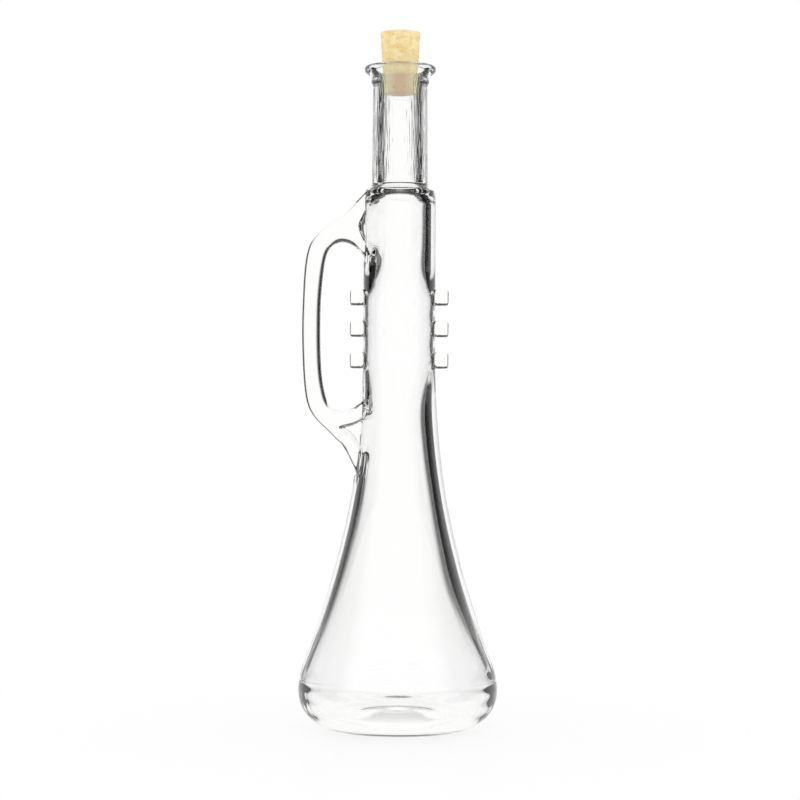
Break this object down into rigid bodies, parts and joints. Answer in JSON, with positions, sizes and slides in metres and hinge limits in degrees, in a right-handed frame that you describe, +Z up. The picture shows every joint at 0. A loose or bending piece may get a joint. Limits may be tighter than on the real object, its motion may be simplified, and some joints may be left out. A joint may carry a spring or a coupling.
{
  "type": "corked glass bottle",
  "caption": "Clear glass bottle shaped as a trumpet standing on its bell, with a flat-sided loop handle, valve lugs, a flared lip and a tapered cork stopper.",
  "frame": {"origin": "centre of the foot, on the floor", "axes": "+Z up along the bottle's axis, -X towards the handle, -Y towards the picture's camera"},
  "size_m": [0.0874, 0.0874, 0.3057],
  "materials": {
    "clear_glass": "fire-polished clear soda-lime glass",
    "natural_cork": "ground natural cork, dry and matt"
  },
  "bodies": {
    "bottle": {"glass_bottle": "clear_glass"},
    "cork": {"cork_stopper": "natural_cork"}
  },
  "joints": [
    {"name": "cork_pull", "type": "slide", "parent": "bottle", "child": "cork", "axis": [0, 0, 1], "range_m": [0, 0.04]}
  ]
}
